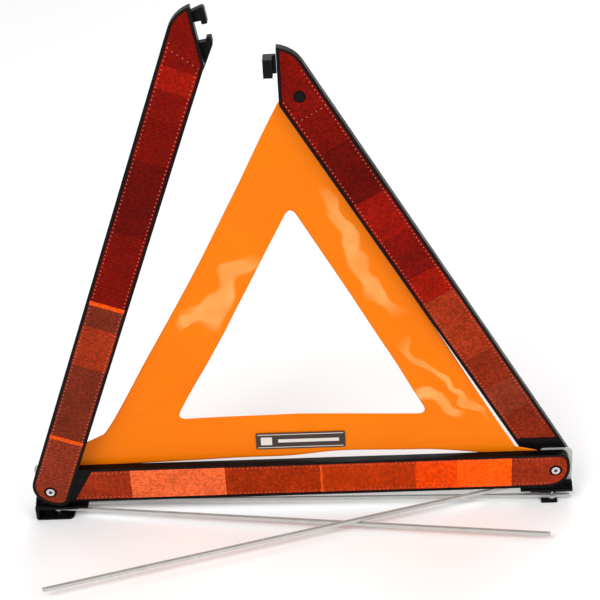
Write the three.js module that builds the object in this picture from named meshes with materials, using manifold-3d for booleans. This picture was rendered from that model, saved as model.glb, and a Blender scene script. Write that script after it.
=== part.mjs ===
// Folding roadside warning triangle, standing upright on four swing-out steel legs.
// Millimetres. +X runs along the base arm, +Y points to the rear, +Z is up.
// The left arm is swung open past its latched angle, the right arm stands up and carries the film.
// Layers from front to rear: left arm, base arm, film, hinge plates, right arm.
import * as THREE from 'three';
import { mergeVertices } from 'three/addons/utils/BufferGeometryUtils.js';
import Module from 'manifold-3d';

const wasm = await Module();
wasm.setup();

// ---------- driving sizes ----------
const pivotPitch = 410;          // between the two pivot rivets
const armWidth = 32;             // reflector arm, edge to edge
const armDepth = 7.2;            // reflector arm, front to back
const leftArmAngle = 69.3;       // degrees above the base arm, as it stands open
const triangleAngle = 60;        // degrees, right arm standing up, and both arms when latched
const leftOverlap = 6.5;         // how far each arm's end runs past the middle when latched
const rightOverlap = 1;
const layerGap = 0.5;            // running gap between the left arm and the base arm

const endReach = 11.3;           // arm end beyond its rivet
const endRadius = 18;            // big outer rounding at the rivet end
const endFlat = 4.5;             // straight inner edge of that end beyond the rivet
const apexRadius = 26;           // outer rounding at the apex end
const apexRun = 29;              // start of that rounding, back from the end of the outer edge

const wall = 2;                  // rim around the lens
const backWall = 1.4;
const ledge = 2.4;               // seat that carries the backing sheet
const lensThick = 2.4;
const lensSink = 0.4;            // lens face below the rim
const backingThick = 0.6;
const fit = 0.3;                 // gap between pieces that touch
const ribPitch = 44;
const ribThick = 1.2;

const rivetShaft = 2.3;          // radii of the tubular pivot rivets
const rivetBore = 1.5;
const rivetFlange = 3.4;
const flangeThick = 1;
const bossRadius = 5;
const pivotClear = 0.3;          // running clearance around the rivet

const filmThick = 0.3;
const filmWidth = 50;            // film border beside the triangular opening
const filmHoleClear = 0.5;       // around the rivets and the stud
const studRadius = 4.4;          // film stud head in the right arm
const studShaft = 2;
const studFromApex = 28;         // back along the arm from the point where the arms' middle lines meet

const plateThick = 1.2;          // steel hinge plates
const plateInward = 12;          // their edges either side of the rivet
const plateOutward = 14;
const plateTop = 16.5;           // above the rivets

const legWidth = 3;              // folded steel channel, open upwards
const legHeight = 2.6;
const legWall = 0.6;
const legClear = 0.5;            // between one leg level and the next
const eyeRadius = 3.2;
const legPin = 1.4;
const shoeThick = 1.6;
const blockThick = 3.9;          // foot block under the base arm
const blockInward = 28;          // inner end of the blocks, from the rivet
const blockRear = 25;            // rear face of the blocks
const blockEndWall = 2.6;
const blockProud = 1.5;          // left block beyond its hinge plate
const frontPinY = 5;             // leg pins behind the base arm's front face
const rearPinY = 16;
const pinOffset = 2;             // front and left rear pins from the rivet line
const rearPinInward = 18;        // right rear pin, from the rivet line
const legEndClear = 2.6;         // leg's free end to the far pin
const wallClear = 0.4;           // right rear leg's free end to the left block's end wall
const shoeInward = 15;           // left shoe's inner edge, from the rivet

// ---------- sizes that follow ----------
const half = armWidth / 2;
const pivotX = pivotPitch / 2;
const baseFront = 0;
const baseBack = baseFront + armDepth;
const apexZ = pivotX * Math.tan(THREE.MathUtils.degToRad(triangleAngle));
const studFromPivot = pivotPitch - studFromApex;
const plateInner = pivotX - plateInward;
const plateOuter = pivotX + plateOutward;
const blockInner = pivotX - blockInward;
const leftBlockOuter = plateOuter + blockProud;
const leftBack = baseFront - layerGap;
const leftFront = leftBack - armDepth;
const filmFront = baseBack + fit;
const plateFront = filmFront + filmThick + fit;
const plateBack = plateFront + plateThick;
const rightFront = plateBack + fit;
const rightBack = rightFront + armDepth;
const filmRear = rightBack + fit;
const latchFront = baseFront + 0.7;
const latchRear = baseBack - 0.2;

const blockTop = -half - fit;
const blockBottom = blockTop - blockThick;
const blockRearTop = blockTop - 1; // sunk below the sweep of the right arm's corner
const levelTop = n => blockBottom - fit - n * (legHeight + legClear);
const shoeTop = levelTop(2) - legHeight - fit;
const ground = shoeTop - shoeThick;
const pivotHeight = -ground;     // rivet axes above the ground

const rad = THREE.MathUtils.degToRad;

// ---------- materials ----------
const finish = (colour, roughness, metalness) =>
  new THREE.MeshStandardMaterial({ color: colour, roughness, metalness });
const blackPlastic = finish(0x161514, 0.35, 0);
const redLens = finish(0x9c1f10, 0.2, 0);
const backingSheet = finish(0x7a1208, 0.5, 0);
const orangeFilm = finish(0xf77f05, 0.3, 0);
const labelPrint = finish(0x2a1c18, 0.4, 0);
const steel = finish(0xa5a29b, 0.45, 1);
const rivetMetal = finish(0xd8d8d6, 0.25, 1);

// ---------- solids ----------
function solid(geometry) {
  const plain = geometry.clone();
  plain.deleteAttribute('normal');
  plain.deleteAttribute('uv');
  const merged = mergeVertices(plain, 1e-4);
  const mesh = new wasm.Mesh({
    numProp: 3,
    vertProperties: new Float32Array(merged.attributes.position.array),
    triVerts: new Uint32Array(merged.index.array),
  });
  return new wasm.Manifold(mesh);
}

function geometryOf(body) {
  const mesh = body.getMesh();
  const geometry = new THREE.BufferGeometry();
  geometry.setAttribute('position', new THREE.BufferAttribute(mesh.vertProperties, 3));
  geometry.setIndex(new THREE.BufferAttribute(mesh.triVerts, 1));
  return geometry;
}

const join = (first, ...more) => geometryOf(more.reduce((sum, g) => sum.add(solid(g)), solid(first)));
const cut = (first, ...more) => geometryOf(more.reduce((rest, g) => rest.subtract(solid(g)), solid(first)));

// A flat outline standing in the X-Z plane, between two Y planes.
function slab(shape, front, back, segments = 12) {
  const geometry = new THREE.ExtrudeGeometry(shape, {
    depth: back - front, bevelEnabled: false, curveSegments: segments,
  });
  geometry.rotateX(Math.PI / 2);
  return geometry.translate(0, back, 0);
}

// A flat outline lying in the X-Y plane, between two heights.
function plate(shape, low, high, segments = 12) {
  const geometry = new THREE.ExtrudeGeometry(shape, {
    depth: high - low, bevelEnabled: false, curveSegments: segments,
  });
  return geometry.translate(0, 0, low);
}

function box(x0, x1, y0, y1, z0, z1) {
  const geometry = new THREE.BoxGeometry(x1 - x0, y1 - y0, z1 - z0);
  return geometry.translate((x0 + x1) / 2, (y0 + y1) / 2, (z0 + z1) / 2);
}

// Round bar along Y at (x, z), and round bar along Z at (x, y).
function barY(x, z, radius, front, back, sides = 24) {
  const geometry = new THREE.CylinderGeometry(radius, radius, back - front, sides);
  return geometry.translate(x, (front + back) / 2, z);
}

function barZ(x, y, radius, low, high, sides = 20) {
  const geometry = new THREE.CylinderGeometry(radius, radius, high - low, sides);
  geometry.rotateX(Math.PI / 2);
  return geometry.translate(x, y, (low + high) / 2);
}

// Closed outline through corners [x, y, radius], each rounded by a quadratic curve.
function roundedOutline(corners) {
  const shape = new THREE.Shape();
  corners.forEach(([x, y, radius], i) => {
    const here = new THREE.Vector2(x, y);
    const before = new THREE.Vector2(...corners.at(i - 1));
    const after = new THREE.Vector2(...corners[(i + 1) % corners.length]);
    const arrive = before.sub(here).setLength(radius).add(here);
    const leave = after.sub(here).setLength(radius).add(here);
    if (i === 0) shape.moveTo(arrive.x, arrive.y);
    else shape.lineTo(arrive.x, arrive.y);
    if (radius > 0) shape.quadraticCurveTo(x, y, leave.x, leave.y);
  });
  return shape.closePath();
}

// ---------- the reflector arm ----------
// Outline in the arm's own plane: u runs from the rivet along the arm and v across it, with the
// triangle's outer side at side * v. inset shrinks it evenly. Each end is one of
//   { kind: 'rivet' }                    rounded on the outer side, past the rivet
//   { kind: 'apex', overlap }            cut upright when latched, rounded on the outer side
//   { kind: 'slant', at, slope }         straight cut, u = at + slope * v
function armOutline(side, inset, near, far) {
  const h = half - inset;
  const points = [];
  const arc = (cu, cv, radius, from, to) => {
    const steps = 10;
    for (let i = 0; i <= steps; i++) {
      const a = rad(from + (to - from) * i / steps);
      points.push([cu + radius * Math.cos(a), cv + radius * Math.sin(a)]);
    }
  };
  // From the end's tip to its inner edge, with the tip and the edge as the curve's two tangents.
  const innerBend = (direction, tip, straight, from) => {
    const curve = new THREE.QuadraticBezierCurve(new THREE.Vector2(tip, from),
      new THREE.Vector2(tip, -h), new THREE.Vector2(straight, -h));
    const bend = curve.getPoints(8).map(({ x, y }) => [x, y]);
    points.push(...(direction > 0 ? bend.slice(1) : bend.reverse().slice(0, -1)));
  };
  if (near.kind === 'rivet') {
    const reach = endReach - inset;
    const radius = endRadius - inset;
    arc(-reach + radius, h - radius, radius, 90, 180);
    innerBend(1, -reach, -(endFlat - inset), h - radius);
  } else {
    const shift = inset * Math.hypot(1, near.slope);
    points.push([near.at + shift + near.slope * h, h], [near.at + shift - near.slope * h, -h]);
  }
  if (far.kind === 'apex') {
    const lean = Math.tan(rad(triangleAngle));
    const along = (pivotX + far.overlap - inset) / Math.cos(rad(triangleAngle));
    const radius = apexRadius - inset;
    const start = (pivotX + far.overlap) / Math.cos(rad(triangleAngle)) + lean * half - apexRun - radius / 3;
    const reach = along - start + lean * (h - radius);
    const meet = triangleAngle + Math.asin(reach / (2 * radius)) * 180 / Math.PI;
    points.push([along - lean * h, -h]);
    arc(start, h - radius, radius, 90 - meet, 90);
  } else {
    const reach = pivotPitch + endReach - inset;
    const radius = endRadius - inset;
    innerBend(-1, reach, pivotPitch + endFlat - inset, h - radius);
    arc(reach - radius, h - radius, radius, 0, 90);
  }
  return new THREE.Shape(points.map(([u, v]) => new THREE.Vector2(u, side * v)));
}

// One arm's tray, backing sheet and lens, front face at y = 0 of the arm's own frame.
// bores are pivot bosses that pass right through: { u, lens, shaft, sink }, where lens is the radius of the
// hole in the lens and backing sheet (0 where the lens doesn't reach it) and sink that of a seat in the back.
function reflectorArm(side, outer, window, bores) {
  const [outerNear, outerFar] = outer;
  const [lensNear, lensFar] = window;
  const seatDepth = lensSink + lensThick + fit + backingThick + fit;
  const body = slab(armOutline(side, 0, outerNear, outerFar), 0, armDepth);
  const seat = slab(armOutline(side, wall, lensNear, lensFar), -1, seatDepth);
  const core = slab(armOutline(side, wall + ledge, lensNear, lensFar), -1, armDepth - backWall);
  const long = pivotPitch + 2 * half;
  const ribs = [];
  for (let u = ribPitch; u < pivotPitch - ribPitch / 2; u += ribPitch) {
    ribs.push(box(u - ribThick / 2, u + ribThick / 2, seatDepth, armDepth - backWall + 0.2,
      -half + wall, half - wall));
  }
  const lensBosses = bores.filter(b => b.lens > 0);
  const bosses = lensBosses.map(b => barY(b.u, 0, b.lens - fit, lensSink + 1.3, armDepth));
  const holes = bores.map(b => barY(b.u, 0, b.shaft, -long, long));
  const seats = bores.filter(b => b.sink)
    .map(b => barY(b.u, 0, b.sink, armDepth - flangeThick - 0.1 - fit, long));
  let tray = solid(body).subtract(solid(seat)).subtract(solid(core));
  for (const g of [...ribs, ...bosses]) tray = tray.add(solid(g));
  for (const g of [...holes, ...seats]) tray = tray.subtract(solid(g));

  const lensShape = armOutline(side, wall + fit, lensNear, lensFar);
  const lens = cut(slab(lensShape, lensSink, lensSink + lensThick),
    ...lensBosses.map(b => barY(b.u, 0, b.lens, -long, long)));
  const sheetFront = lensSink + lensThick + fit;
  const sheet = cut(slab(lensShape, sheetFront, sheetFront + backingThick),
    ...lensBosses.map(b => barY(b.u, 0, b.lens, -long, long)));
  return { tray: geometryOf(tray), lens, sheet };
}

// Tubular rivet along Y: front flange, hollow shaft, rear flange.
function tubularRivet(front, back) {
  const profile = [
    [rivetBore, front], [rivetFlange, front], [rivetFlange, front + flangeThick],
    [rivetShaft, front + flangeThick], [rivetShaft, back - flangeThick],
    [rivetFlange, back - flangeThick], [rivetFlange, back], [rivetBore, back], [rivetBore, front],
  ].map(([r, y]) => new THREE.Vector2(r, y));
  return new THREE.LatheGeometry(profile, 28);
}

// ---------- latch ----------
// Both jaws are drawn with the left arm at triangleAngle. They close on the lug with each arm 1.1 degrees
// above that, where the tips drop in behind the lug's head.
const lugLow = apexZ - 5.5;
const lugHigh = apexZ + 8.3;
const lugLeft = -10.5;
const lugHead = -3.8;
const lugRoot = -rightOverlap - fit;
const lugClear = 0.85;           // between the lug and the jaws above and below it
const nib = 2.75;                // how far each jaw's tip reaches over the lug's head
const nibThick = 4.2;
const jawInnerX = 10.8;
const jawTipX = jawInnerX + nibThick;
const jawPocketTop = lugHigh + lugClear;
const jawTipLow = jawPocketTop - nib;
const jawTop = jawPocketTop + 10.2;
const clawPocket = lugLow - lugClear;
const clawTipHigh = clawPocket + nib;
const clawHeel = clawPocket - 2.8;
const clawFoot = clawPocket - 17.8;
const headClear = 0.8;           // either side of the lug's head in the pocket
const webWide = 7;
const jawRoot = jawInnerX - (lugHead - lugLeft) - 2 * headClear;
const webBack = jawRoot - webWide;

function upperJaw() {
  return roundedOutline([
    [webBack, jawPocketTop, 0], [jawInnerX, jawPocketTop, 0], [jawInnerX, jawTipLow, 0.6],
    [jawTipX, jawTipLow, 1], [jawTipX, jawTop, 3], [webBack, jawTop - 5, 2],
  ]);
}

function lowerJaw() {
  return roundedOutline([
    [webBack, clawPocket, 0], [jawInnerX, clawPocket, 0], [jawInnerX + 0.3, clawTipHigh, 1.2],
    [jawTipX, clawTipHigh, 1.2], [jawTipX, clawHeel, 1.5], [leftOverlap - 1, clawFoot, 1],
    [webBack, clawFoot - 14, 2],
  ]);
}

function webPlate() {
  return roundedOutline([
    [webBack, clawPocket + fit, 1], [jawRoot, clawPocket + fit, 1],
    [jawRoot, jawPocketTop - fit, 1], [webBack, jawPocketTop - fit, 1],
  ]);
}

// ---------- film ----------
// The film lies behind the base arm at its lower edge and behind the right arm higher up.
const filmLow = half + 8;
const filmHigh = filmLow + 144;
function filmLean(z) {
  const t = THREE.MathUtils.smoothstep(z, filmLow, filmHigh);
  return t * (filmRear - filmFront);
}

// Point s along the side that rises from one pivot, and inward of that side's middle line.
function alongSide(end, s, inward) {
  const lean = rad(triangleAngle);
  const x = end * (pivotX - s * Math.cos(lean) - inward * Math.sin(lean));
  return [x, s * Math.sin(lean) - inward * Math.cos(lean)];
}

function filmOutline() {
  const [studX, studZ] = alongSide(1, studFromPivot, 0);
  const tab = 9;
  const lean = rad(90 - triangleAngle);
  const middle = pivotPitch / 2;
  const shape = new THREE.Shape();
  shape.moveTo(studX - tab * Math.cos(lean), studZ + tab * Math.sin(lean));
  shape.quadraticCurveTo(...alongSide(-1, middle + 9, half + 1), ...alongSide(-1, 68, half + 4));
  shape.quadraticCurveTo(-pivotX + 45, half + 25, -pivotX + 32, half + 22);
  shape.quadraticCurveTo(-pivotX + 12, half + 18, -pivotX - 7, 6);
  shape.absarc(-pivotX, 0, tab, rad(140), rad(300), false);
  shape.quadraticCurveTo(-0.6 * pivotX, half + 1, -0.24 * pivotX, half + 2.3);
  shape.quadraticCurveTo(0.2 * pivotX, half + 8.5, 0.55 * pivotX, half + 3.8);
  shape.quadraticCurveTo(pivotX - 45, half - 3, pivotX - 4.5, -7.8);
  shape.absarc(pivotX, 0, tab, rad(240), rad(400), false);
  shape.quadraticCurveTo(pivotX - 10, half - 1.5, pivotX - 31, half + 1);
  shape.quadraticCurveTo(pivotX - 36, half + 4, ...alongSide(1, 44, half + 3));
  shape.quadraticCurveTo(...alongSide(1, 124, half + 7), ...alongSide(1, middle + 5, half + 4.5));
  shape.quadraticCurveTo(...alongSide(1, pivotPitch - 130, 4.3),
    studX + tab * Math.cos(lean), studZ + tab * Math.sin(lean));
  shape.absarc(studX, studZ, tab, lean, Math.PI - lean, false);
  shape.holes.push(filmOpening(), ring(-pivotX, 0, rivetShaft), ring(pivotX, 0, rivetShaft));
  shape.holes.push(ring(studX, studZ, studShaft));
  return shape;
}

function ring(x, z, shaft) {
  const hole = new THREE.Path();
  hole.absarc(x, z, shaft + filmHoleClear, 0, 2 * Math.PI, true);
  return hole;
}

// Triangular opening with rounded corners, filmWidth inside the film's outer edges.
function filmOpening() {
  const top = new THREE.Vector2(1.5, apexZ - 3 - 2.24 * filmWidth);
  const low = half - 8 + filmWidth;
  const left = new THREE.Vector2(-pivotX + 2 * filmWidth, low);
  const right = new THREE.Vector2(pivotX - 1.93 * filmWidth, low - 3);
  const corners = [top, left, right];
  const hole = new THREE.Path();
  const turn = 15;
  corners.forEach((here, i) => {
    const arrive = corners.at(i - 1).clone().sub(here).setLength(turn).add(here);
    const leave = corners[(i + 1) % 3].clone().sub(here).setLength(turn).add(here);
    const middle = here.clone().lerp(arrive.clone().lerp(leave, 0.5), 0.15);
    if (i === 0) hole.moveTo(arrive.x, arrive.y);
    else hole.quadraticCurveTo(...bowed(corners[i - 1], here, 2.5), arrive.x, arrive.y);
    hole.quadraticCurveTo(middle.x, middle.y, leave.x, leave.y);
  });
  hole.quadraticCurveTo(...bowed(right, top, 2.5), ...hole.curves[0].v0.toArray());
  return hole;
}

function bowed(from, to, bow) {
  const across = to.clone().sub(from);
  const middle = from.clone().add(to).multiplyScalar(0.5);
  const side = new THREE.Vector2(-across.y, across.x).setLength(bow);
  return middle.add(side).toArray();
}

function filmSheet() {
  const geometry = slab(filmOutline(), filmFront, filmFront + filmThick, 18);
  const position = geometry.attributes.position;
  for (let i = 0; i < position.count; i++) {
    position.setY(i, position.getY(i) + filmLean(position.getZ(i)));
  }
  return geometry;
}

// ---------- feet ----------
// Leg pivots: x, y, level from the top, swing from the stowed position, length, tail beyond the pin.
const pinReach = 2 * (pivotX - pinOffset) - legPin - legEndClear;
const legs = {
  left_front_leg: {
    x: -pivotX + pinOffset, y: frontPinY, level: 1, swing: -7.7, length: pinReach, tail: 4,
  },
  left_rear_leg: {
    x: -pivotX - pinOffset, y: rearPinY, level: 1, swing: 4, length: pinReach + 1, tail: 4,
  },
  right_front_leg: {
    x: pivotX - pinOffset, y: frontPinY, level: 2, swing: 178.17, length: pinReach, tail: 14.4,
  },
  right_rear_leg: {
    x: pivotX - rearPinInward, y: rearPinY, level: 0, swing: 196.9, tail: 4,
    length: pivotX - rearPinInward + leftBlockOuter - blockEndWall - wallClear,
  },
};

function legChannel({ length, tail }) {
  const w = legWidth / 2;
  const section = new THREE.Shape([
    [-w, 0], [w, 0], [w, legHeight], [w - legWall, legHeight], [w - legWall, legWall],
    [-w + legWall, legWall], [-w + legWall, legHeight], [-w, legHeight],
  ].map(([a, b]) => new THREE.Vector2(a, b)));
  const channel = new THREE.ExtrudeGeometry(section, { depth: length + tail, bevelEnabled: false });
  channel.rotateX(Math.PI / 2).rotateZ(Math.PI / 2).translate(-tail, 0, 0);
  const eye = barZ(0, 0, eyeRadius, 0, legHeight);
  const bore = barZ(0, 0, legPin + pivotClear, -1, legHeight + 1);
  return geometryOf(solid(channel).add(solid(eye)).subtract(solid(bore)));
}

// Foot block under one end of the base arm; end is -1 at the left and 1 at the right.
function footBlock(end, front, outer) {
  const across = (a, b) => (end < 0 ? [-b, -a] : [a, b]);
  const upper = join(
    box(...across(blockInner + 8, outer), baseFront + fit, plateBack, blockBottom, blockTop),
    box(...across(blockInner + 8, outer), plateBack - 1, blockRear, blockBottom, blockRearTop),
  );
  const lower = box(...across(blockInner + 8, outer), front, baseFront + fit + 1,
    blockBottom, blockTop - 1.5);
  const tab = join(
    box(...across(blockInner, blockInner + 9), front, plateBack, blockBottom + 1, blockTop),
    box(...across(blockInner, blockInner + 9), plateBack - 1, blockRear - 8, blockBottom + 1, blockRearTop),
  );
  const trim = box(...across(blockInner - 1, blockInner + 10), front - 1, baseFront + fit,
    blockTop - 1.5, blockTop + 1);
  const ear = box(...across(outer - 6.2, outer), baseFront + 3, baseBack + fit,
    blockBottom + 1, blockTop + 2);
  return { upper, lower, tab, trim, ear, across };
}

function leftFootBlock() {
  const outer = leftBlockOuter;
  const { upper, lower, tab, trim, ear } = footBlock(-1, -4, outer);
  const endWall = box(-outer, -outer + blockEndWall, -4, blockRear, shoeTop + fit, blockBottom + 1);
  let block = solid(tab).subtract(solid(trim));
  for (const g of [upper, lower, ear, endWall]) block = block.add(solid(g));
  return geometryOf(block);
}

function rightFootBlock() {
  const { upper, lower, tab, trim, ear } = footBlock(1, -1, plateOuter);
  let block = solid(tab).subtract(solid(trim));
  for (const g of [upper, lower, ear]) block = block.add(solid(g));
  for (const name of ['right_front_leg', 'right_rear_leg']) {
    const { x, y } = legs[name];
    block = block.subtract(solid(barZ(x, y, legPin + 0.2, blockBottom - 1, blockTop + 1)));
  }
  return geometryOf(block);
}

function leftShoe() {
  const outer = leftBlockOuter;
  const inner = pivotX - shoeInward;
  const shape = roundedOutline([
    [-outer, -3, 2], [-inner, -3, 5], [-inner, blockRear, 3], [-outer, blockRear, 2],
  ]);
  const bores = ['left_front_leg', 'left_rear_leg']
    .map(name => barZ(legs[name].x, legs[name].y, legPin + 0.2, ground - 1, shoeTop + 1));
  return cut(plate(shape, ground, shoeTop), ...bores);
}

function rightShoe() {
  const pin = legs.right_front_leg;
  const shape = roundedOutline([
    [pin.x - 9, -1, 1], [pin.x + 4, -1, 1], [pin.x + 4, blockRear - 3, 2], [pin.x - 9, blockRear - 3, 2],
  ]);
  return cut(plate(shape, ground, shoeTop), barZ(pin.x, pin.y, legPin + 0.2, ground - 1, shoeTop + 1));
}

function hingePlate(end) {
  const shape = roundedOutline([
    [end * plateInner, -half, 3], [end * plateOuter, -half, 2],
    [end * plateOuter, plateTop, 5], [end * plateInner, plateTop, 3],
  ]);
  const drill = end < 0 ? rivetFlange + fit : rivetShaft + pivotClear;
  return cut(slab(shape, plateFront, plateBack), barY(end * pivotX, 0, drill, 0, 20));
}

// ---------- assembly ----------
const model = new THREE.Group();
const triangle = new THREE.Group();
triangle.position.z = pivotHeight;
model.add(triangle);

function add(parent, name, geometry, material) {
  const mesh = new THREE.Mesh(geometry, material);
  mesh.name = name;
  parent.add(mesh);
  return mesh;
}

function armGroup(x, front, angle) {
  const group = new THREE.Group();
  group.position.set(x, front, 0);
  group.rotation.y = -rad(angle);
  triangle.add(group);
  return group;
}

function addArm(parent, prefix, pieces) {
  add(parent, `${prefix}_housing`, pieces.tray, blackPlastic);
  add(parent, `${prefix}_backing`, pieces.sheet, backingSheet);
  add(parent, `${prefix}_lens`, pieces.lens, redLens);
}

// base arm, seen with its outer side down
const lensBoss = bossRadius + fit;
const baseArm = armGroup(-pivotX, baseFront, 0);
addArm(baseArm, 'base_arm', reflectorArm(
  -1,
  [{ kind: 'rivet' }, { kind: 'rivet' }],
  [{ kind: 'slant', at: 23.5, slope: -Math.tan(rad(90 - triangleAngle)) }, { kind: 'rivet' }],
  [{ u: 0, lens: 0, shaft: rivetShaft + pivotClear },
    { u: pivotPitch, lens: lensBoss, shaft: rivetShaft + pivotClear }],
));

const leftArm = armGroup(-pivotX, leftFront, leftArmAngle);
addArm(leftArm, 'left_arm', reflectorArm(
  1,
  [{ kind: 'rivet' }, { kind: 'apex', overlap: leftOverlap }],
  [{ kind: 'rivet' }, { kind: 'apex', overlap: leftOverlap }],
  [{ u: 0, lens: lensBoss, shaft: rivetShaft + pivotClear }],
));

const rightArm = armGroup(pivotX, rightFront, 180 - triangleAngle);
addArm(rightArm, 'right_arm', reflectorArm(
  -1,
  [{ kind: 'rivet' }, { kind: 'apex', overlap: rightOverlap }],
  [{ kind: 'slant', at: 28, slope: -Math.tan(rad(90 - triangleAngle)) },
    { kind: 'apex', overlap: rightOverlap }],
  [{ u: 0, lens: 0, shaft: rivetShaft + pivotClear, sink: rivetFlange + pivotClear },
    { u: studFromPivot, lens: studRadius + fit, shaft: studShaft + fit }],
));

// latch jaws, drawn as latched and then swung open with the left arm
const latched = new THREE.Group();
latched.rotation.y = -rad(leftArmAngle - triangleAngle);
latched.position.set(-pivotX, 0, 0);
triangle.add(latched);
const jaw = shape => slab(shape, latchFront, latchRear).translate(pivotX, 0, 0);
add(latched, 'latch_upper_jaw', jaw(upperJaw()), blackPlastic);
add(latched, 'latch_lower_jaw', jaw(lowerJaw()), blackPlastic);
add(latched, 'latch_web', jaw(webPlate()), blackPlastic);

// latch lug on the right arm's end
const lugHeadBar = box(lugLeft, lugHead, latchFront, rightFront + 3, lugLow, lugHigh);
const lugFoot = box(lugHead - 1, lugRoot, rightFront, rightFront + 3, lugLow, lugHigh);
add(triangle, 'latch_lug', join(lugHeadBar, lugFoot), blackPlastic);

// pivots
add(triangle, 'left_pivot_rivet',
  tubularRivet(leftFront + lensSink, plateBack - 0.1).translate(-pivotX, 0, 0), rivetMetal);
add(triangle, 'right_pivot_rivet',
  tubularRivet(baseFront + lensSink, rightBack - 0.1).translate(pivotX, 0, 0), rivetMetal);
add(triangle, 'left_hinge_plate', hingePlate(-1), steel);
add(triangle, 'right_hinge_plate', hingePlate(1), steel);

// film with its label and the stud that holds its apex
add(triangle, 'warning_film', filmSheet(), orangeFilm);
add(triangle, 'film_label', slab(roundedOutline([
  [-36, half + 10, 1.5], [36, half + 10, 1.5], [36, half + 25.5, 1.5], [-36, half + 25.5, 1.5],
]), filmFront - 0.6, filmFront - 0.3), labelPrint);
const studGroup = armGroup(pivotX, 0, 180 - triangleAngle);
add(studGroup, 'film_stud', join(
  barY(studFromPivot, 0, studRadius - fit, rightFront + lensSink - 0.1, rightFront + lensSink + 1.0),
  barY(studFromPivot, 0, studShaft, rightFront + lensSink + 0.9, filmRear + filmThick + 1.8),
), blackPlastic);
add(studGroup, 'film_stud_cap', cut(
  barY(studFromPivot, 0, 5.5, filmRear + filmThick + fit, filmRear + filmThick + fit + 1.5),
  barY(studFromPivot, 0, studShaft + 0.2, 0, 40),
), blackPlastic);

// feet
add(triangle, 'left_foot_block', leftFootBlock(), blackPlastic);
add(triangle, 'right_foot_block', rightFootBlock(), blackPlastic);
add(triangle, 'left_foot_shoe', leftShoe(), blackPlastic);
add(triangle, 'right_foot_shoe', rightShoe(), blackPlastic);
const pinSpan = {
  left_front_leg: [ground, levelTop(1)],
  left_rear_leg: [ground, levelTop(1)],
  right_front_leg: [ground, blockRearTop],
  right_rear_leg: [levelTop(0) - legHeight, blockRearTop],
};
for (const [name, leg] of Object.entries(legs)) {
  const mesh = add(triangle, name, legChannel(leg), steel);
  mesh.position.set(leg.x, leg.y, levelTop(leg.level) - legHeight);
  mesh.rotation.z = rad(leg.swing);
  add(triangle, name.replace('_leg', '_leg_pin'), barZ(leg.x, leg.y, legPin, ...pinSpan[name]), rivetMetal);
}

// the origin is the middle of the bottom of the whole object's box
const bounds = new THREE.Box3().setFromObject(model, true);
const middle = bounds.getCenter(new THREE.Vector3());
model.position.set(-middle.x, -middle.y, -bounds.min.z);

export default model;
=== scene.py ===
"""Folding warning triangle: reflector arms, stretched orange film, latch, rivets and swing-out steel legs."""
import math

import bpy
import numpy as np
from mathutils import Matrix, Vector


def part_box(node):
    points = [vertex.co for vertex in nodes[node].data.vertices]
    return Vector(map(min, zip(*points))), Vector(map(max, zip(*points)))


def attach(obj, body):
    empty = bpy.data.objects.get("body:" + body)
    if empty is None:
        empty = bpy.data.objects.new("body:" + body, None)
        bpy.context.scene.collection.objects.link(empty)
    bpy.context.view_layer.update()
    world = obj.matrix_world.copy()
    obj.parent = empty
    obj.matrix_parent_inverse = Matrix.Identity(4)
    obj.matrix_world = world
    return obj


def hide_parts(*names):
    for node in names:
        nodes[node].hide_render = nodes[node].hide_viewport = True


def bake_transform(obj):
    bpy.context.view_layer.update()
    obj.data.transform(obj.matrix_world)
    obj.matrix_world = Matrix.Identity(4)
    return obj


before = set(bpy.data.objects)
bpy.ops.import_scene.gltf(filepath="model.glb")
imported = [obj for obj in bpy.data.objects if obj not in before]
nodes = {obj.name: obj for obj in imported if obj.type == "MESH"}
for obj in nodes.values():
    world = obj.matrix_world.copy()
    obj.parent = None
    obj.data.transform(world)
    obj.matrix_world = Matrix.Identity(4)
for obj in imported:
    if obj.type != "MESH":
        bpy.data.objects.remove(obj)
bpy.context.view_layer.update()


# ---------- places taken from the frame ----------
def middle(node):
    """Centre of a CAD node's box."""
    low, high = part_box(node)
    return (np.array(low) + np.array(high)) / 2


LEFT_PIVOT = middle("left_pivot_rivet")
RIGHT_PIVOT = middle("right_pivot_rivet")
RIVET_Z = LEFT_PIVOT[2]
MID_X = (LEFT_PIVOT[0] + RIGHT_PIVOT[0]) / 2
PITCH = RIGHT_PIVOT[0] - LEFT_PIVOT[0]
STUD = middle("film_stud_cap")
LEFT_ANGLE = math.radians(69.3)    # each arm's turn from +X at rest
RIGHT_ANGLE = math.radians(120)
HALF_ARM = 0.016                   # half the arms' width
MM = 0.001


# ---------- mesh making ----------
def mesh_piece(name, points, faces, material, smooth=True):
    """A mesh object at the origin from an array of points and a list of faces."""
    mesh = bpy.data.meshes.new(name)
    mesh.from_pydata(points.tolist(), [], faces)
    mesh.polygons.foreach_set("use_smooth", [smooth] * len(mesh.polygons))
    mesh.materials.append(material)
    mesh.update()
    piece = bpy.data.objects.new(name, mesh)
    bpy.context.collection.objects.link(piece)
    return piece


def grid_faces(rows, columns, wrap):
    """Quads between neighbouring rows and columns of a grid, closed along the columns if wrap is set."""
    i, j = np.meshgrid(np.arange(rows - 1), np.arange(columns if wrap else columns - 1), indexing="ij")
    k = (j + 1) % columns
    quads = np.stack([i * columns + j, i * columns + k, (i + 1) * columns + k, (i + 1) * columns + j], -1)
    return quads.reshape(-1, 4)


# ---------- shader helpers ----------
def srgb(r, g, b):
    """Linear colour from 0 to 255 display values: below 0.04045 a straight line, above it a 2.4 power."""
    c = np.array([r, g, b]) / 255
    linear = np.where(c <= 0.04045, c / 12.92, ((c + 0.055) / 1.055) ** 2.4)
    return (*linear.tolist(), 1.0)


def link(tree, a, b):
    """Join output a to input b."""
    tree.links.new(a, b)


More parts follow.
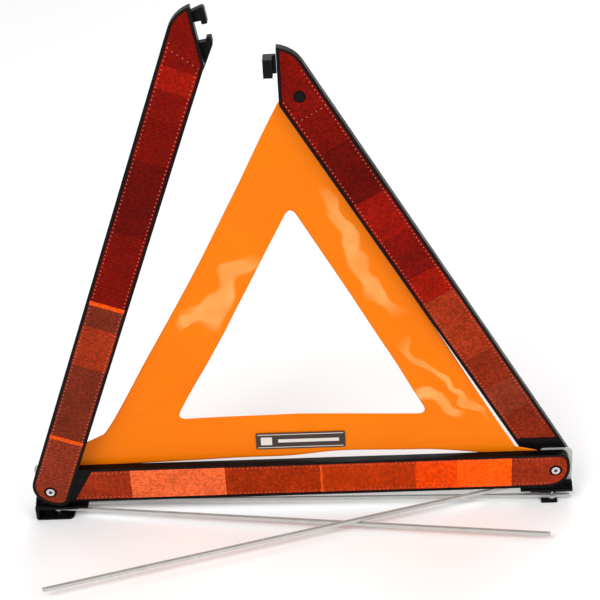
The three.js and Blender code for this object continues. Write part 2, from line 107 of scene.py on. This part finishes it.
def math_node(tree, operation, a, b=None):
    """One arithmetic step; a and b are sockets or numbers."""
    node = tree.nodes.new("ShaderNodeMath")
    node.operation = operation
    for socket, value in zip(node.inputs, (a, b)):
        if value is None:
            continue
        if isinstance(value, (int, float)):
            socket.default_value = value
        else:
            link(tree, value, socket)
    return node.outputs[0]


def mix_colour(tree, factor, a, b, blend="MIX"):
    """Mix of two colours; each input is a socket or a value."""
    node = tree.nodes.new("ShaderNodeMix")
    node.data_type = "RGBA"
    node.blend_type = blend
    for socket, value in ((node.inputs[0], factor), (node.inputs[6], a), (node.inputs[7], b)):
        if isinstance(value, bpy.types.NodeSocket):
            link(tree, value, socket)
        else:
            socket.default_value = value
    return node.outputs[2]


def map_range(tree, value, low, high, to_low, to_high):
    """A value carried in a straight line from low and high onto to_low and to_high, and held beyond them."""
    node = tree.nodes.new("ShaderNodeMapRange")
    link(tree, value, node.inputs[0])
    for socket, number in zip(node.inputs[1:5], (low, high, to_low, to_high)):
        socket.default_value = number
    return node.outputs[0]


def noise(tree, vector, scale, detail=2.0, roughness=0.5):
    """Smooth noise from 0 to 1, its scale in steps per metre."""
    node = tree.nodes.new("ShaderNodeTexNoise")
    link(tree, vector, node.inputs["Vector"])
    node.inputs["Scale"].default_value = scale
    node.inputs["Detail"].default_value = detail
    node.inputs["Roughness"].default_value = roughness
    return node.outputs["Fac"]


def ramp(tree, value, stops, interpolation="LINEAR"):
    """Colour ramp from (position, colour) stops."""
    node = tree.nodes.new("ShaderNodeValToRGB")
    node.color_ramp.interpolation = interpolation
    link(tree, value, node.inputs[0])
    elements = node.color_ramp.elements
    while len(elements) < len(stops):
        elements.new(0.5)
    for element, (position, colour) in zip(elements, stops):
        element.position = position
        element.color = colour
    return node.outputs[0]


def group(name, inputs, outputs):
    """An empty node group with its sockets; returns the tree and its two end nodes."""
    tree = bpy.data.node_groups.new(name, "ShaderNodeTree")
    for label, kind in inputs:
        tree.interface.new_socket(label, in_out="INPUT", socket_type=kind)
    for label, kind in outputs:
        tree.interface.new_socket(label, in_out="OUTPUT", socket_type=kind)
    return tree, tree.nodes.new("NodeGroupInput"), tree.nodes.new("NodeGroupOutput")


def use_group(tree, shared, values):
    """Place a node group; values maps an input's name to a number or a socket."""
    node = tree.nodes.new("ShaderNodeGroup")
    node.node_tree = shared
    for label, value in values.items():
        if isinstance(value, bpy.types.NodeSocket):
            link(tree, value, node.inputs[label])
        else:
            node.inputs[label].default_value = value
    return node


def surface_grain():
    """Fine noise for height and broad noise for patchy gloss, both at sizes given per metre."""
    tree, start, end = group("surface_grain",
                             [("Vector", "NodeSocketVector"), ("Fine", "NodeSocketFloat"),
                              ("Broad", "NodeSocketFloat")],
                             [("Height", "NodeSocketFloat"), ("Patches", "NodeSocketFloat")])
    for label, out, detail in (("Fine", "Height", 3.0), ("Broad", "Patches", 4.0)):
        node = tree.nodes.new("ShaderNodeTexNoise")
        node.inputs["Detail"].default_value = detail
        link(tree, start.outputs["Vector"], node.inputs["Vector"])
        link(tree, start.outputs[label], node.inputs["Scale"])
        link(tree, node.outputs["Fac"], end.inputs[out])
    return tree


def prism_cells():
    """Cube-corner cells: the least of three sine waves turned 60 degrees apart across the arm's plane."""
    tree, start, end = group("prism_cells",
                             [("Vector", "NodeSocketVector"), ("Pitch", "NodeSocketFloat")],
                             [("Cells", "NodeSocketFloat"), ("Ribs", "NodeSocketFloat")])
    split = tree.nodes.new("ShaderNodeSeparateXYZ")
    link(tree, start.outputs["Vector"], split.inputs[0])
    turns = math_node(tree, "DIVIDE", 2 * math.pi, start.outputs["Pitch"])
    waves = []
    for degrees in (30, 90, 150):
        along = math_node(tree, "MULTIPLY", split.outputs[0], math.cos(math.radians(degrees)))
        across = math_node(tree, "MULTIPLY", split.outputs[2], math.sin(math.radians(degrees)))
        phase = math_node(tree, "MULTIPLY", math_node(tree, "ADD", along, across), turns)
        waves.append(math_node(tree, "ABSOLUTE", math_node(tree, "SINE", phase)))
    least = math_node(tree, "MINIMUM", math_node(tree, "MINIMUM", waves[0], waves[1]), waves[2])
    link(tree, least, end.inputs["Cells"])
    link(tree, waves[0], end.inputs["Ribs"])
    return tree


GRAIN = surface_grain()
CELLS = prism_cells()


def new_material(name, roughness, metallic=0.0, **sockets):
    """A Principled material with its Object coordinates; other sockets are set by name."""
    material = bpy.data.materials.new(name)
    material.use_nodes = True
    tree = material.node_tree
    shader = tree.nodes["Principled BSDF"]
    shader.inputs["Roughness"].default_value = roughness
    shader.inputs["Metallic"].default_value = metallic
    for label, value in sockets.items():
        shader.inputs[label.replace("_", " ")].default_value = value
    place = tree.nodes.new("ShaderNodeTexCoord").outputs["Object"]
    return material, tree, shader, place


def bump(tree, shader, height, strength, distance):
    """Surface relief from a height; distance is its depth in metres."""
    node = tree.nodes.new("ShaderNodeBump")
    node.inputs["Strength"].default_value = strength
    node.inputs["Distance"].default_value = distance
    link(tree, height, node.inputs["Height"])
    link(tree, node.outputs[0], shader.inputs["Normal"])


def grained(name, dark, light, rough, metallic, fine, broad, strength, distance, **sockets):
    """A finish whose colour drifts between two tones and whose gloss is patchy, over a fine grain."""
    material, tree, shader, place = new_material(name, rough[0], metallic, **sockets)
    grain = use_group(tree, GRAIN, {"Vector": place, "Fine": fine, "Broad": broad})
    link(tree, mix_colour(tree, grain.outputs["Patches"], dark, light), shader.inputs["Base Color"])
    link(tree, map_range(tree, grain.outputs["Patches"], 0.3, 0.7, *rough), shader.inputs["Roughness"])
    bump(tree, shader, grain.outputs["Height"], strength, distance)
    return material


# ---------- finishes ----------
black_plastic = grained("moulded_black_plastic", srgb(6, 5, 5), srgb(15, 12, 12), (0.26, 0.44), 0.0,
                        2600, 60, 0.12, 0.00005, Specular_IOR_Level=0.1)
steel = grained("zinc_coated_steel", srgb(180, 179, 175), srgb(206, 205, 202), (0.42, 0.6), 0.2,
                900, 110, 0.15, 0.00004)
rivet_metal = grained("bright_rivet_metal", srgb(196, 196, 194), srgb(226, 226, 224), (0.18, 0.34), 1.0,
                      1500, 220, 0.1, 0.00003)
backing = grained("dark_red_backing", srgb(70, 10, 6), srgb(96, 16, 9), (0.4, 0.6), 0.0,
                  1200, 90, 0.1, 0.00003)
label_print = grained("plain_label_print", srgb(40, 24, 20), srgb(56, 36, 30), (0.3, 0.45), 0.0,
                      1400, 80, 0.06, 0.00002)
label_line = grained("pale_label_line", srgb(214, 206, 196), srgb(228, 222, 214), (0.35, 0.45), 0.0,
                     1400, 80, 0.05, 0.00002)
# Painted highlight: the beads' pale pink colour stands in for glints on the small domes.
bead_glint = grained("reflector_bead_painted_glint", srgb(190, 70, 44), srgb(226, 132, 100), (0.12, 0.25), 0.0,
                     900, 400, 0.05, 0.00002, Coat_Weight=0.5)


# Painted highlight: pale glare streaks along creases in the film, in mm from the middle and the rivets'
# height: x, z, lean from upright in degrees, half length, half width.
CREASE_GLARE_STREAKS = [(50, 196, -21, 64, 8), (41, 214, -30, 26, 6), (-50, 170, 38, 40, 11), (-68, 148, 55, 26, 5),
           (118, 84, -42, 52, 3), (112, 66, -62, 24, 6)]


def crease_glare_mask(tree, place, waves, crease):
    """1 along one crease's painted glare streak and 0 away from it: distance across its line, moved by a slow
    wave, falls off at its half width, and distance along it at its half length."""
    x, z, lean, length, width = crease
    turn = tree.nodes.new("ShaderNodeMapping")
    turn.vector_type = "TEXTURE"
    turn.inputs["Location"].default_value = (MID_X + x * MM, 0, RIVET_Z + z * MM)
    turn.inputs["Rotation"].default_value = (0, math.radians(lean), 0)
    link(tree, place, turn.inputs["Vector"])
    split = tree.nodes.new("ShaderNodeSeparateXYZ")
    link(tree, turn.outputs[0], split.inputs[0])
    across = math_node(tree, "ABSOLUTE", math_node(tree, "ADD", split.outputs[0], waves))
    along = math_node(tree, "ABSOLUTE", split.outputs[2])
    narrow = map_range(tree, across, width * MM, 0.6 * width * MM, 0.0, 1.0)
    short = map_range(tree, along, length * MM, 0.7 * length * MM, 0.0, 1.0)
    return math_node(tree, "MULTIPLY", narrow, short)


def film_finish():
    """Glossy orange foil with pale wavy streaks along its creases that follow the pull of the film: painted
    highlight, glare put into its colour.
    """
    material, tree, shader, place = new_material("glossy_orange_film", 0.2, 0.0, Specular_IOR_Level=0.1)
    ground = mix_colour(tree, noise(tree, place, 9, 1.0), srgb(238, 110, 0), srgb(240, 128, 0))
    waves = map_range(tree, noise(tree, place, 26, 1.5), 0.3, 0.7, -0.011, 0.011)
    painted_glare = None
    for crease in CREASE_GLARE_STREAKS:
        mask = crease_glare_mask(tree, place, waves, crease)
        painted_glare = mask if painted_glare is None else math_node(tree, "MAXIMUM", painted_glare, mask)
    glare_fading = map_range(tree, noise(tree, place, 40, 1.0), 0.3, 0.7, 0.35, 0.85)
    depth = math_node(tree, "MULTIPLY", painted_glare, glare_fading)
    # the pale colour mixed in here is painted highlight: glare along the creases, put into the film's colour
    link(tree, mix_colour(tree, depth, ground, srgb(246, 172, 96)), shader.inputs["Base Color"])
    grain = use_group(tree, GRAIN, {"Vector": place, "Fine": 700.0, "Broad": 40.0})
    link(tree, map_range(tree, grain.outputs["Patches"], 0.3, 0.7, 0.16, 0.3), shader.inputs["Roughness"])
    bump(tree, shader, grain.outputs["Height"], 0.04, 0.00005)
    return material


LENS_REACH = 0.45      # metres along an arm that its panels cover
PRISM_PITCH = 0.0034


def lens_finish(name, pivot, angle, panels):
    """Red prismatic lens. panels are (start along the arm in mm, colour, 1 for ribs or 0 for cells)."""
    material, tree, shader, place = new_material(name, 0.24, 0.0, Specular_IOR_Level=0.05)
    turn = tree.nodes.new("ShaderNodeMapping")
    turn.vector_type = "TEXTURE"
    turn.inputs["Location"].default_value = (pivot[0], 0, pivot[2])
    turn.inputs["Rotation"].default_value = (0, -angle, 0)
    link(tree, place, turn.inputs["Vector"])
    split = tree.nodes.new("ShaderNodeSeparateXYZ")
    link(tree, turn.outputs[0], split.inputs[0])
    along = math_node(tree, "DIVIDE", split.outputs[0], LENS_REACH)
    stops = [(max(0.0, start * MM / LENS_REACH), colour) for start, colour, _ in panels]
    tint = ramp(tree, along, stops, "CONSTANT")
    kinds = [(p, (float(k[2]),) * 3 + (1.0,)) for (p, _), k in zip(stops, panels)]
    ribbed = ramp(tree, along, kinds, "CONSTANT")
    cells = use_group(tree, CELLS, {"Vector": turn.outputs[0], "Pitch": PRISM_PITCH})
    height = mix_colour(tree, ribbed, cells.outputs["Cells"], cells.outputs["Ribs"])
    grey = tree.nodes.new("ShaderNodeRGBToBW")
    link(tree, height, grey.inputs[0])
    shade = map_range(tree, grey.outputs[0], 0.0, 0.8, 0.42, 1.5)
    patches = map_range(tree, noise(tree, place, 55, 3.0), 0.3, 0.7, 0.85, 1.15)
    sparkle = map_range(tree, noise(tree, place, 420, 1.0), 0.35, 0.65, 0.78, 1.25)
    both = math_node(tree, "MULTIPLY", math_node(tree, "MULTIPLY", shade, patches), sparkle)
    value = tree.nodes.new("ShaderNodeCombineColor")
    for socket in value.inputs:
        link(tree, both, socket)
    link(tree, mix_colour(tree, 1.0, tint, value.outputs[0], "MULTIPLY"), shader.inputs["Base Color"])
    bump(tree, shader, grey.outputs[0], 0.25, 0.0002)
    return material


BROWN, RUST, BRICK = srgb(118, 41, 22), srgb(136, 40, 14), srgb(168, 47, 5)
DEEP, WINE, RED = srgb(99, 6, 0), srgb(124, 11, 1), srgb(152, 19, 1)
EMBER, GLOW, PINK = srgb(212, 60, 2), srgb(242, 80, 6), srgb(247, 106, 54)


def double_line(start):
    """Two thin bright lines across an arm with a dark one between them."""
    return [(start, GLOW, 0), (start + 1.2, DEEP, 0), (start + 1.9, GLOW, 0)]


lens_materials = {
    "base_arm_lens": lens_finish("base_lens", LEFT_PIVOT, 0.0, [
        (0, RUST, 1), (64.3, PINK, 0), (142.1, BRICK, 0), (219.4, GLOW, 0), (221, BRICK, 1),
        (296.4, EMBER, 1), (330, GLOW, 1), (373.8, RUST, 1)]),
    "left_arm_lens": lens_finish("left_lens", LEFT_PIVOT, LEFT_ANGLE, [
        (0, BROWN, 1), *double_line(51.8), (54.9, BROWN, 0), (125, RUST, 1), (163, BROWN, 0),
        *double_line(182.2), (185.3, DEEP, 1), (248, DEEP, 0), (310.5, DEEP, 1), (345, WINE, 0),
        (368, RED, 0), (385, WINE, 0)]),
    "right_arm_lens": lens_finish("right_lens", RIGHT_PIVOT, RIGHT_ANGLE, [
        (0, RUST, 0), (62, BROWN, 1), (93, RUST, 0), (124, RUST, 1), (186, RED, 0), (210, WINE, 0),
        (248, WINE, 1), (285, DEEP, 0), (335, DEEP, 1), (366, WINE, 0)]),
}


def finish_for(node):
    """Finish of a carried-over CAD node, by what it is."""
    if node in lens_materials:
        return lens_materials[node]
    if node.endswith("_backing"):
        return backing
    if node.endswith("_pin") or node.endswith("_rivet"):
        return rivet_metal
    if node.endswith("_leg") or node.endswith("_plate"):
        return steel
    return black_plastic


for node, piece in nodes.items():
    finish = finish_for(node)
    if not piece.material_slots:
        piece.data.materials.append(finish)
    for place in piece.material_slots:
        place.material = finish


# ---------- film ----------
def smooth_run(points, count):
    """An open curve through a few points (Catmull-Rom: each piece's end slopes are half the step between its
    neighbours), then evenly divided by length."""
    p = np.array(points, float)
    p = np.vstack([2 * p[0] - p[1], p, 2 * p[-1] - p[-2]])
    t = np.linspace(0, 1, 24, endpoint=False)[:, None]
    runs = [0.5 * (2 * p[k] + (p[k + 1] - p[k - 1]) * t
                   + (2 * p[k - 1] - 5 * p[k] + 4 * p[k + 1] - p[k + 2]) * t ** 2
                   + (3 * p[k] - p[k - 1] - 3 * p[k + 1] + p[k + 2]) * t ** 3)
            for k in range(1, len(p) - 2)]
    return resample_open(np.vstack(runs + [p[-2:-1]]), count)


def outline(runs, counts):
    """Closed outline from runs in order, each ending where the next begins, with its own number of points."""
    return np.vstack([smooth_run(run, count) for run, count in zip(runs, counts)])


def resample_open(run, count):
    """count points evenly spaced along an open run, its last point left to the next run."""
    steps = np.concatenate([[0], np.cumsum(np.linalg.norm(np.diff(run, axis=0), axis=1))])
    wanted = np.linspace(0, steps[-1], count, endpoint=False)
    return np.stack([np.interp(wanted, steps, run[:, k]) for k in (0, 1)], -1)


# Outlines are in mm, from the middle between the rivets and from the rivets' height.
PER_SIDE = 130         # points along a side
ACROSS = 30            # rows from the outer edge to the opening
X, Z = 0, 1            # an outline's two columns
FILM_THICKNESS = 0.0002
STUD_AT = ((STUD[0] - MID_X) / MM, (STUD[2] - RIVET_Z) / MM)
HALF_PITCH = PITCH / 2 / MM
TOP = (STUD_AT[0] - 1, STUD_AT[1] + 8)
LEFT_NECK = ((-187, 11), (-180, 35.2))
RIGHT_NECK = ((172, 8), (172.3, 20.6))
NECK_POINTS = 10
OUTER = [
    [LEFT_NECK[0], (-178.6, 14), (-155, 15), (-91, 17), (-50, 18.3), (-9, 18.7), (31, 22),
     (80, 21), (112, 19.8), (150, 14.5), RIGHT_NECK[0]],
    list(RIGHT_NECK),
    [RIGHT_NECK[1], (168.2, 28.4), (160, 42), (125, 103), (83.5, 178), (58, 240), TOP],
    [TOP, (-1.5, 325), (-40, 251), (-81, 174), (-122, 104.5), (-154.3, 50), (-168, 40.5), LEFT_NECK[1]],
    list(LEFT_NECK[::-1]),
]
OUTER_COUNTS = (PER_SIDE - NECK_POINTS, NECK_POINTS, PER_SIDE, PER_SIDE - NECK_POINTS, NECK_POINTS)
OPENING = ((-99, 57), (103.5, 54.5), (2, 241))
OPENING_SIDES = ((0, 58.5), (52.5, 148), (-54, 133.5))
CORNER_REACH = 10      # length of side that a rounded corner takes
LEAN_START, LEAN_RISE = 24, 144      # where the film starts to lean back, and over what height
FREE_START, FREE_RISE = 42, 30       # where its billows start above the base arm, and over what height
FREE_EDGE = 14                       # and over what width beside the right arm


def opening_outline():
    """Rounded triangle: each corner is a quadratic curve from one side to the next, and each side passes
    through a middle point. It starts at the first corner's middle."""
    corners, mids = np.array(OPENING, float), np.array(OPENING_SIDES, float)
    t = np.linspace(0, 1, 13)[:, None]
    bends = []
    for k, here in enumerate(corners):
        ends = []
        for other in (mids[k - 1], mids[k]):
            away = other - here
            ends.append(here + CORNER_REACH * away / np.linalg.norm(away))
        bends.append((1 - t) ** 2 * ends[0] + 2 * t * (1 - t) * here + t ** 2 * ends[1])
    sides = [np.vstack([bends[k][6:], mids[k:k + 1], bends[(k + 1) % 3][:7]]) for k in range(3)]
    return np.vstack([resample_open(side, PER_SIDE) for side in sides])


def film_depth(x, z, front, rear):
    """Depth of the film: it leaves the layer behind the base arm and eases to the layer behind the right arm,
    with shallow billows and folds that fan out from two corners. Both fade to nothing above the base arm and
    where the right arm covers the film, by how far a point is inward of that arm's middle line."""
    t = np.clip((z - LEAN_START) / LEAN_RISE, 0, 1)
    lean = t * t * (3 - 2 * t) * (rear - front)
    billow = 0.55 * np.sin(x / 31 + 0.6) * np.sin(z / 37 + 1.1) + 0.3 * np.sin((x + 1.4 * z) / 19)
    fan_right = np.arctan2(z - 10, 190 - x)
    fan_left = np.arctan2(z - 20, x + 185)
    near_right = np.exp(-((x - 95) ** 2 + (z - 120) ** 2) / 3800)
    near_left = np.exp(-((x + 95) ** 2 + (z - 95) ** 2) / 3000)
    folds = 1.25 * near_right * np.sin(fan_right * 30) + 1.1 * near_left * np.sin(fan_left * 26)
    inward = (HALF_PITCH - x) * math.sin(RIGHT_ANGLE) + z * math.cos(RIGHT_ANGLE)
    above = np.clip((z - FREE_START) / FREE_RISE, 0, 1)
    beside = np.clip((inward - HALF_ARM / MM) / FREE_EDGE, 0, 1)
    free = above * beside
    return front + lean + (billow + folds) * free


def film_layers():
    """Depths, in mm, of the film's layer behind the base arm and of its layer behind the right arm."""
    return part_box("warning_film")[0][1] / MM + 0.15, STUD[1] / MM - 1.2


def film_ring(name, outer, inner, across, material):
    """A sheet between two outlines: a point moves straight from the outer one to the inner one. Also gives
    its flat size and its area, the sum of half the cross products of the quads' diagonals."""
    s = np.linspace(0, 1, across)[:, None, None]
    flat = outer[None] * (1 - s) + inner[None] * s
    depth = film_depth(flat[..., X], flat[..., Z], *film_layers())
    points = np.stack([flat[..., X] * MM + MID_X, depth * MM, flat[..., Z] * MM + RIVET_Z], -1).reshape(-1, 3)
    quads = grid_faces(across, outer.shape[0], True)
    piece = mesh_piece(name, points, quads.tolist(), material)
    a, b, c, d = (points[quads[:, k]] for k in range(4))
    area = 0.5 * np.linalg.norm(np.cross(c - a, d - b), axis=1).sum()
    thick = piece.modifiers.new("thickness", "SOLIDIFY")
    thick.thickness = FILM_THICKNESS
    thick.offset = 0
    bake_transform(piece)
    return piece, np.ptp(flat.reshape(-1, 2), axis=0) * MM, float(area)


TAB, EYE = 9, 2.8      # mm: radius of a tail's end round its rivet, and of the hole in it


def film_tail(name, pivot_x, neck, arc, over, under, material):
    """The film's end round a rivet: its outline runs from the neck over to an arc round the rivet and back
    under to the neck, and each point moves straight towards the rivet until it meets the eye's circle."""
    turn = np.radians(np.linspace(*arc, 24))
    tab = np.stack([pivot_x + TAB * np.cos(turn), TAB * np.sin(turn)], -1)
    corners = np.vstack([[neck[1]], over, tab, under, [neck[0]], [neck[1]]])
    outer = resample_open(corners, 96)
    away = outer - (pivot_x, 0)
    inner = (pivot_x, 0) + EYE * away / np.linalg.norm(away, axis=1)[:, None]
    return film_ring(name, outer, inner, 8, material)[0]


def build_film():
    """The film's body with its opening, and the two ends that reach the rivets."""
    finish = film_finish()
    body, size, area = film_ring("orange_film_sheet", outline(OUTER, OUTER_COUNTS), opening_outline(),
                                 ACROSS, finish)
    left = film_tail("film_left_tail", -HALF_PITCH, LEFT_NECK, (115, 300), [(-190, 29), (-200, 19)],
                     [(-195, 1)], finish)
    right = film_tail("film_right_tail", HALF_PITCH, RIGHT_NECK, (60, -120), [(184, 17.8), (196, 14)],
                      [(190, -2)], finish)
    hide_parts("warning_film")


build_film()


# ---------- label ----------
def rounded_plate(name, x0, x1, z0, z1, front, back, radius, material):
    """A thin plate standing in the X-Z plane: a rounded rectangle carried from front to back."""
    turn = np.radians(np.arange(0, 91, 15))
    corners = [(x1 - radius, z1 - radius, 0), (x0 + radius, z1 - radius, 90),
               (x0 + radius, z0 + radius, 180), (x1 - radius, z0 + radius, 270)]
    ring = np.vstack([np.stack([cx + radius * np.cos(turn + math.radians(a)),
                                cz + radius * np.sin(turn + math.radians(a))], -1) for cx, cz, a in corners])
    count = len(ring)
    points = np.vstack([np.stack([ring[:, 0], np.full(count, y), ring[:, 1]], -1) for y in (front, back)])
    faces = [list(range(count)), list(range(2 * count - 1, count - 1, -1))]
    faces += [[k, k + count, (k + 1) % count + count, (k + 1) % count] for k in range(count)]
    return mesh_piece(name, points, faces, material, smooth=False)


def build_label():
    """A plain dark label with pale lines along its top and foot, a pale block and a blank pale bar: no
    lettering.
    """
    low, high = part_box("film_label")
    plate = rounded_plate("plain_label", low[0], high[0], low[2], high[2], low[1], high[1],
                          0.0012, label_print)
    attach(plate, "base")
    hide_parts("film_label")
    front = low[1] - 0.00006
    inset, line = 0.0013, 0.0006
    bars = {
        "top": (low[0] + inset, high[0] - inset, high[2] - inset - line, high[2] - inset),
        "foot": (low[0] + inset, high[0] - inset, low[2] + inset, low[2] + inset + line),
        "block": (low[0] + 0.004, low[0] + 0.013, low[2] + 0.004, high[2] - 0.004),
        "bar": (low[0] + 0.018, high[0] - 0.005, low[2] + 0.0062, high[2] - 0.0062),
    }
    for name, (x0, x1, z0, z1) in bars.items():
        strip = rounded_plate(f"label_{name}_line", x0, x1, z0, z1, front, low[1], 0.0002, label_line)
        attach(strip, "base")


build_label()


# ---------- reflector beads ----------
def bead_rows(name, pivot, angle, front, runs, body):
    """Small domes along straight runs (u0, v0, u1, v1) in the arm's plane: each is a half sphere of rings."""
    radius, gap = 0.5 * MM, 3.4 * MM
    lift = np.radians([0, 35, 65])
    sides, height = 6, 0.45 * radius
    round_it = np.radians(np.arange(0, 360, 360 // sides))
    ring_u = np.concatenate([radius * np.cos(a) * np.cos(round_it) for a in lift] + [[0.0]])
    ring_v = np.concatenate([radius * np.cos(a) * np.sin(round_it) for a in lift] + [[0.0]])
    ring_h = np.concatenate([np.full(sides, height * np.sin(a)) for a in lift] + [[height]])
    centres = []
    for u0, v0, u1, v1 in runs:
        length = math.hypot(u1 - u0, v1 - v0) * MM
        t = np.linspace(0, 1, max(2, int(length / gap)))
        centres.append(np.stack([(u0 + (u1 - u0) * t) * MM, (v0 + (v1 - v0) * t) * MM], -1))
    centres = np.vstack(centres)
    u = centres[:, :1] + ring_u
    v = centres[:, 1:] + ring_v
    x = pivot[0] + u * math.cos(angle) - v * math.sin(angle)
    z = pivot[2] + u * math.sin(angle) + v * math.cos(angle)
    y = np.broadcast_to(front - ring_h, x.shape)
    points = np.stack([x, y, z], -1).reshape(-1, 3)
    one = [[r + k, r + (k + 1) % sides, r + sides + (k + 1) % sides, r + sides + k]
           for r in (0, sides) for k in range(sides)]
    one += [[2 * sides + k, 2 * sides + (k + 1) % sides, 3 * sides] for k in range(sides)]
    one += [list(range(sides - 1, -1, -1))]
    size = len(ring_u)
    faces = [[i + base for i in face] for base in range(0, len(points), size) for face in one]
    piece = mesh_piece(name, points, faces, bead_glint)
    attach(piece, body)


def lens_front(node):
    """Depth of the beads' flat backs, a hair in front of a lens."""
    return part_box(node)[0][1] - 0.00002


EDGE = 12.2            # mm from an arm's middle line to its bead rows
bead_rows("base_bead_rows", LEFT_PIVOT, 0.0, lens_front("base_arm_lens"),
          [(34, EDGE, 405, EDGE), (16, -EDGE, 405, -EDGE), (220, -EDGE, 220, EDGE)], "base")
bead_rows("left_bead_rows", LEFT_PIVOT, LEFT_ANGLE, lens_front("left_arm_lens"),
          [(10, EDGE, 404, EDGE), (6, -EDGE, 392, -EDGE), (392, -EDGE, 400, EDGE), (53.3, -EDGE, 53.3, EDGE)],
          "left_arm")
bead_rows("right_bead_rows", RIGHT_PIVOT, RIGHT_ANGLE, lens_front("right_arm_lens"),
          [(40, -EDGE, 398, -EDGE), (24, EDGE, 384, EDGE), (366, -EDGE, 366, EDGE)], "right_arm")


# ---------- floor, light, camera ----------
def stage_floor():
    """A pale square floor, 12 m on a side."""
    points = np.array([[-6, -6, 0], [6, -6, 0], [6, 6, 0], [-6, 6, 0]], float)
    material, tree, shader, place = new_material("pale_floor", 0.8)
    tone = mix_colour(tree, noise(tree, place, 2, 1.0), srgb(246, 246, 246), srgb(250, 250, 250))
    link(tree, tone, shader.inputs["Base Color"])
    mesh_piece("floor", points, [[0, 1, 2, 3]], material, smooth=False)


def area_light(name, place, target, size, power):
    """A square soft light aimed at a point."""
    lamp = bpy.data.lights.new(name, "AREA")
    lamp.size = size
    lamp.energy = power
    holder = bpy.data.objects.new(name, lamp)
    holder.location = place
    holder.rotation_euler = (Vector(target) - Vector(place)).to_track_quat("-Z", "Y").to_euler()
    bpy.context.collection.objects.link(holder)


def set_camera():
    """Camera placed by its yaw, downward pitch and roll, with the picture's centre moved a little."""
    yaw, pitch, roll = (math.radians(a) for a in (-2.31, 30.45, -3.23))
    ahead = Vector((math.sin(yaw) * math.cos(pitch), math.cos(yaw) * math.cos(pitch), -math.sin(pitch)))
    right = Vector((math.cos(yaw), -math.sin(yaw), 0))
    up = right.cross(ahead)
    right_rolled = right * math.cos(roll) + up * math.sin(roll)
    up_rolled = up * math.cos(roll) - right * math.sin(roll)
    base_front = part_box("base_arm_housing")[0][1]
    aside, before, above = 0.0519, 1.0491, 0.7859
    place = Vector((MID_X + aside, base_front - before, RIVET_Z + above))
    lens = bpy.data.cameras.new("camera")
    lens.sensor_width = 36
    lens.lens = 96.3
    lens.shift_x = -0.007
    camera = bpy.data.objects.new("camera", lens)
    turn = Matrix((right_rolled, up_rolled, -ahead)).transposed().to_4x4()
    camera.matrix_world = Matrix.Translation(place) @ turn
    bpy.context.collection.objects.link(camera)
    bpy.context.scene.camera = camera


def set_world():
    """Even white surroundings, with colours shown as they are."""
    world = bpy.data.worlds.new("soft_studio")
    world.use_nodes = True
    world.node_tree.nodes["Background"].inputs[0].default_value = (1, 1, 1, 1)
    world.node_tree.nodes["Background"].inputs[1].default_value = 0.62
    bpy.context.scene.world = world
    bpy.context.scene.view_settings.view_transform = "Standard"


stage_floor()
area_light("key_light", (-0.9, -1.3, 1.9), (0, 0, 0.2), 1.2, 26)
area_light("fill_light", (1.4, -0.9, 1.2), (0, 0, 0.2), 1.4, 12)
area_light("back_light", (0.3, 1.5, 1.7), (0, 0, 0.2), 1.2, 12)
set_camera()
set_world()
